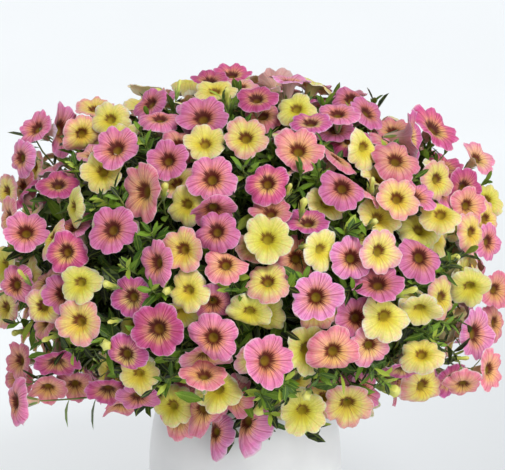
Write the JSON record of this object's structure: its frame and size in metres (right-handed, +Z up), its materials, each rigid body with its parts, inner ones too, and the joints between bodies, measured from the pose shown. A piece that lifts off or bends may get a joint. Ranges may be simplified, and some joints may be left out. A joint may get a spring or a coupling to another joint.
{
  "type": "calibrachoa in a pot",
  "caption": "Round mound of small trumpet flowers in mixed pink, salmon and yellow on leafy shoots, growing in a plain rounded pot with a flat foot.",
  "frame": {"origin": "centre of the pot's flat foot, on the surface it stands on", "axes": "+Z up through the middle of the pot; the side turned to a viewer faces -Y"},
  "size_m": [0.3619, 0.3651, 0.3627],
  "materials": {
    "pot_glaze": "satin",
    "potting_mix": "matte",
    "woody_crown": "matte",
    "leaf_and_stem": "satin",
    "bud_green": "satin",
    "petal_rose": "satin",
    "petal_magenta": "satin",
    "petal_salmon": "satin",
    "petal_two_tone": "satin",
    "petal_yellow": "satin"
  },
  "bodies": {
    "root": {"bud_01": "bud_green", "bud_02": "bud_green", "bud_03": "bud_green", "bud_04": "bud_green", "flower_magenta_01": "petal_magenta", "flower_magenta_02": "petal_magenta", "flower_magenta_03": "petal_magenta", "flower_rose_01": "petal_rose", "flower_rose_02": "petal_rose", "flower_rose_03": "petal_rose", "flower_rose_04": "petal_rose", "flower_rose_05": "petal_rose", "flower_rose_06": "petal_rose", "flower_rose_07": "petal_rose", "flower_rose_08": "petal_rose", "flower_rose_09": "petal_rose", "flower_rose_10": "petal_rose", "flower_rose_11": "petal_rose", "flower_rose_12": "petal_rose", "flower_rose_13": "petal_rose", "flower_rose_14": "petal_rose", "flower_salmon_01": "petal_salmon", "flower_salmon_02": "petal_salmon", "flower_salmon_03": "petal_salmon", "flower_salmon_04": "petal_salmon", "flower_salmon_05": "petal_salmon", "flower_salmon_06": "petal_salmon", "flower_two_tone_01": "petal_two_tone", "flower_two_tone_02": "petal_two_tone", "flower_two_tone_03": "petal_two_tone", "flower_two_tone_04": "petal_two_tone", "flower_two_tone_05": "petal_two_tone", "flower_two_tone_06": "petal_two_tone", "flower_two_tone_07": "petal_two_tone", "flower_two_tone_08": "petal_two_tone", "flower_yellow_01": "petal_yellow", "flower_yellow_02": "petal_yellow", "flower_yellow_03": "petal_yellow", "flower_yellow_04": "petal_yellow", "flower_yellow_05": "petal_yellow", "flower_yellow_06": "petal_yellow", "flower_yellow_07": "petal_yellow", "flower_yellow_08": "petal_yellow", "flower_yellow_09": "petal_yellow", "flower_yellow_10": "petal_yellow", "leafy_shoot_01": "leaf_and_stem", "leafy_shoot_02": "leaf_and_stem", "leafy_shoot_03": "leaf_and_stem", "leafy_shoot_04": "leaf_and_stem", "leafy_shoot_05": "leaf_and_stem", "leafy_shoot_06": "leaf_and_stem", "leafy_shoot_07": "leaf_and_stem", "leafy_shoot_08": "leaf_and_stem", "leafy_shoot_09": "leaf_and_stem", "leafy_shoot_10": "leaf_and_stem", "leafy_shoot_11": "leaf_and_stem", "leafy_shoot_12": "leaf_and_stem", "pot": "pot_glaze", "potting_soil": "potting_mix", "root_crown": "woody_crown"}
  },
  "joints": []
}
